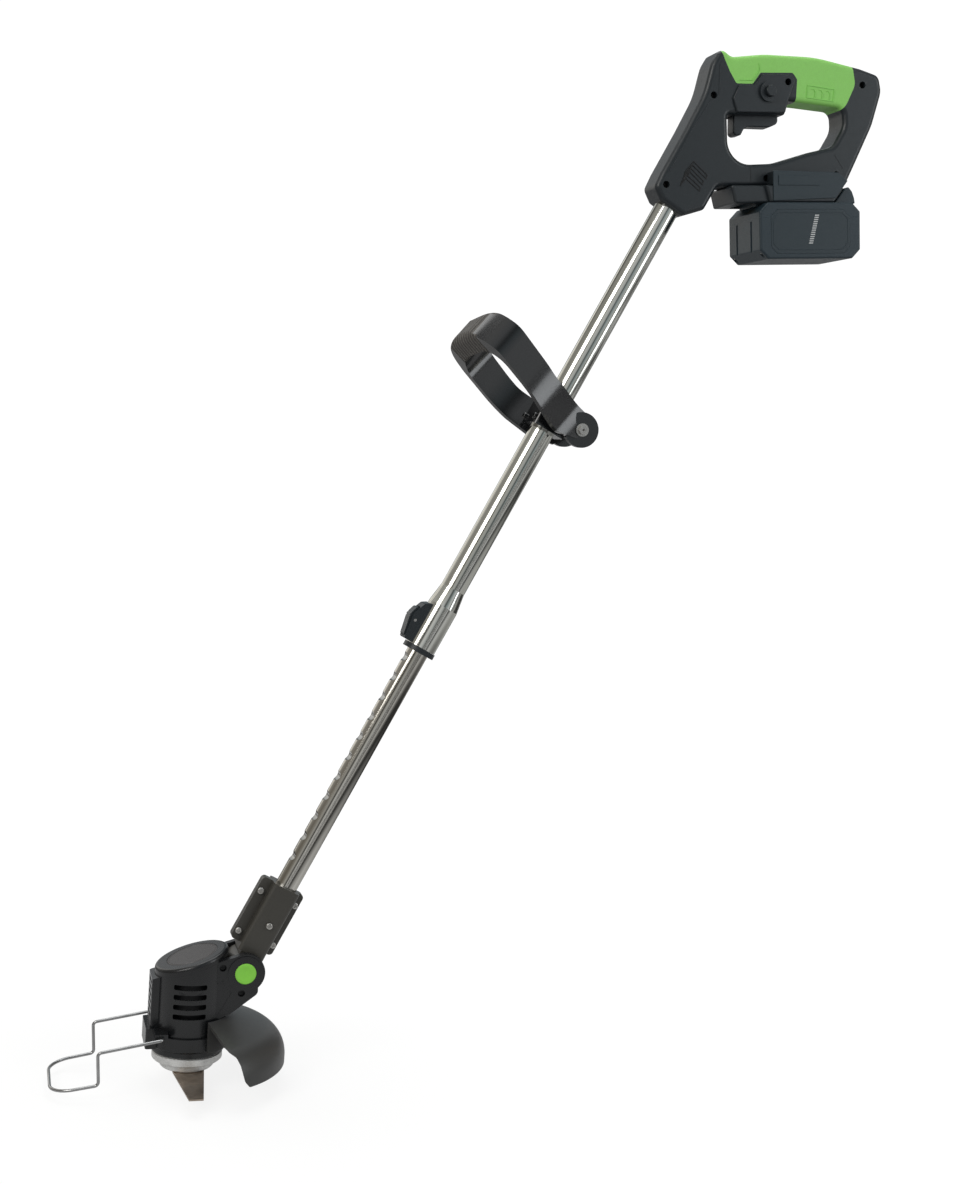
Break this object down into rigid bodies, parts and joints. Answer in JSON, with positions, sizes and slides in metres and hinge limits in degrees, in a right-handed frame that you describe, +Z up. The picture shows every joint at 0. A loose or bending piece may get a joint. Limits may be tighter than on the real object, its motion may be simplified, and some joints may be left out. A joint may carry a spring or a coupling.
{
  "type": "string trimmer",
  "caption": "Cordless grass trimmer: slide-on battery, D-shaped rear handle, adjustable front loop handle, telescopic tube and a tilting motor head with a bar blade, guard and wire guard.",
  "frame": {"origin": "centre of the blade spindle's free end, the lowest point of the tool", "axes": "+Z up along the blade spindle, +X back from the head towards the rear handle, -Y the user's left"},
  "size_m": [0.7849, 0.18, 1.0519],
  "materials": {
    "black_shell": "fine moulded texture",
    "grip_green": "soft satin overmould",
    "button_green": "smooth",
    "head_plastic": "satin moulded",
    "battery_plastic": "fine moulded texture",
    "battery_panel": "satin panel",
    "stainless": "drawn and polished",
    "hub_silver": "die cast, light speckle",
    "blade_steel": "ground",
    "wire_chrome": "bright plated wire",
    "screw_steel": "zinc plated",
    "grip_grey": "ribbed soft grip",
    "loop_plastic": "satin",
    "spring_steel": "wire",
    "brass_contacts": "bare",
    "circuit_board": "lacquered board",
    "cell_wrap": "shrink wrap",
    "motor_steel": "plated",
    "lead_sheath": "smooth sheath"
  },
  "bodies": {
    "rear_handle": {"handle_shell_left": "black_shell", "handle_shell_right": "black_shell", "grip_cover_left": "grip_green", "grip_cover_right": "grip_green", "handle_screws": "screw_steel", "switch_body": "black_shell", "control_board": "circuit_board", "terminal_block": "brass_contacts", "battery_mount": "black_shell", "upper_tube": "stainless", "collar_ring": "black_shell", "guide_bush": "black_shell", "lock_housing": "black_shell", "hinge_pins": "screw_steel", "button_springs": "spring_steel", "coiled_lead": "lead_sheath", "assist_clamp_upper": "loop_plastic", "assist_clamp_lower": "loop_plastic", "assist_fasteners": "screw_steel"},
    "trigger": {"trigger": "black_shell"},
    "lock_off": {"lock_off_button": "black_shell"},
    "tube_lock_lever": {"lock_lever": "black_shell"},
    "lower_section": {"lower_tube": "stainless", "lower_lead": "lead_sheath", "neck_clamp_left": "head_plastic", "neck_clamp_right": "head_plastic", "neck_screws": "screw_steel"},
    "assist_handle": {"assist_loop": "loop_plastic", "assist_grip": "grip_grey", "assist_bolt": "screw_steel"},
    "assist_knob": {"assist_knob": "loop_plastic"},
    "motor_head": {"housing_left": "head_plastic", "housing_right": "head_plastic", "motor_cap": "head_plastic", "front_spine": "head_plastic", "motor_stator": "motor_steel", "motor_end_bell": "head_plastic", "motor_plate": "head_plastic", "spindle_bearing": "motor_steel", "base_flange": "head_plastic", "head_screws": "screw_steel", "tilt_pin": "screw_steel", "release_spring": "spring_steel", "wire_holder": "head_plastic", "debris_guard": "head_plastic"},
    "tilt_release": {"release_button": "button_green"},
    "blade_drive": {"spindle": "motor_steel", "rotor": "motor_steel", "blade_hub": "hub_silver", "blade": "blade_steel", "blade_washer": "screw_steel", "blade_nut": "screw_steel"},
    "wire_guard": {"wire_guard": "wire_chrome"},
    "battery": {"battery_case_upper": "battery_plastic", "battery_case_lower": "battery_plastic", "battery_side_panels": "battery_panel", "battery_cells": "cell_wrap", "battery_board": "circuit_board", "battery_fixings": "screw_steel"},
    "battery_latch": {"battery_release": "battery_plastic"}
  },
  "joints": [
    {"name": "trigger_pull", "type": "hinge", "parent": "rear_handle", "child": "trigger", "pos_m": [0.4992, 0, 0.99403], "axis": [0, 1, 0], "range_deg": [-6, 0], "stiffness_Nm_per_rad": 0.5, "springref_deg": 17.19},
    {"name": "lock_off_push", "type": "slide", "parent": "rear_handle", "child": "lock_off", "axis": [0, 1, 0], "range_m": [0, 0.004], "stiffness_N_per_m": 800, "springref_m": -0.003},
    {"name": "tube_lock_press", "type": "hinge", "parent": "rear_handle", "child": "tube_lock_lever", "pos_m": [0.19923, 0, 0.46248], "axis": [0, 1, 0], "range_deg": [0, 10], "stiffness_Nm_per_rad": 0.5, "springref_deg": -17.19},
    {"name": "telescope_slide", "type": "slide", "parent": "rear_handle", "child": "lower_section", "axis": [0.4462, 0, 0.8949], "range_m": [0, 0.2464]},
    {"name": "assist_tilt", "type": "hinge", "parent": "rear_handle", "child": "assist_handle", "pos_m": [0.3507, 0, 0.6596], "axis": [0, 1, 0], "range_deg": [-30, 30]},
    {"name": "assist_knob_turn", "type": "hinge", "parent": "assist_handle", "child": "assist_knob", "pos_m": [0.3507, 0, 0.6596], "axis": [0, 1, 0], "range_deg": [-180, 180]},
    {"name": "head_tilt", "type": "hinge", "parent": "lower_section", "child": "motor_head", "pos_m": [0.049, 0, 0.115], "axis": [0, 1, 0], "range_deg": [-60, 0]},
    {"name": "head_release_push", "type": "slide", "parent": "motor_head", "child": "tilt_release", "axis": [0, 1, 0], "range_m": [0, 0.003], "stiffness_N_per_m": 1200, "springref_m": -0.003},
    {"name": "blade_spin", "type": "hinge", "parent": "motor_head", "child": "blade_drive", "pos_m": [0, 0, 0], "axis": [0, 0, 1], "continuous": true},
    {"name": "wire_guard_flip", "type": "hinge", "parent": "motor_head", "child": "wire_guard", "pos_m": [-0.028, 0, 0.057], "axis": [0, 1, 0], "range_deg": [0, 90]},
    {"name": "battery_slide", "type": "slide", "parent": "rear_handle", "child": "battery", "axis": [0.9945, 0, 0.1045], "range_m": [0, 0.105]},
    {"name": "battery_release_push", "type": "slide", "parent": "battery", "child": "battery_latch", "axis": [0.1045, 0, -0.9945], "range_m": [0, 0.004], "stiffness_N_per_m": 1000, "springref_m": -0.003}
  ]
}
